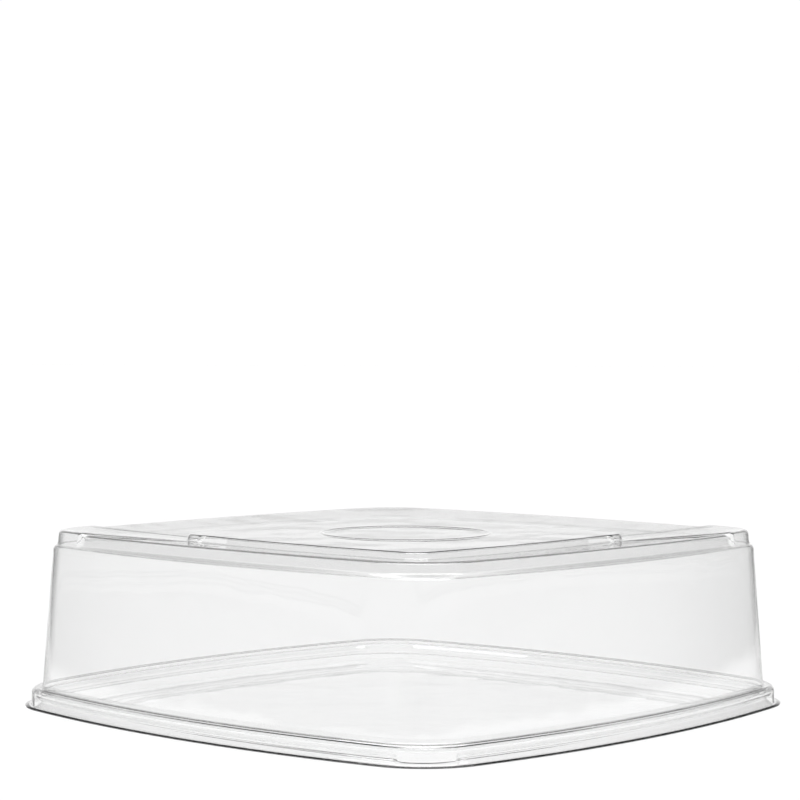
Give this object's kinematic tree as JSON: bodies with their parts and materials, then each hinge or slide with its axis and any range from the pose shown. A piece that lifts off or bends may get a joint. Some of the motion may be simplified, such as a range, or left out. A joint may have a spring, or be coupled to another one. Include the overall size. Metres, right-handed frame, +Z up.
{
  "type": "humidity dome tray",
  "caption": "Square clear humidity dome with drafted walls, a snap skirt and corner release tabs, over a shallow clear tray; the dome lifts straight off.",
  "frame": {"origin": "centre of the footprint, on the ground under the tray", "axes": "+Z up, the way the dome lifts; X and Y square to the sides"},
  "size_m": [0.3, 0.3, 0.085],
  "materials": {
    "clear_dome": "clear glossy thermoformed sheet",
    "clear_tray": "clear glossy thermoformed sheet"
  },
  "bodies": {
    "tray": {"tray": "clear_tray"},
    "dome": {"dome": "clear_dome"}
  },
  "joints": [
    {"name": "dome_lift", "type": "slide", "parent": "tray", "child": "dome", "axis": [0, 0, 1], "range_m": [0, 0.12]}
  ]
}
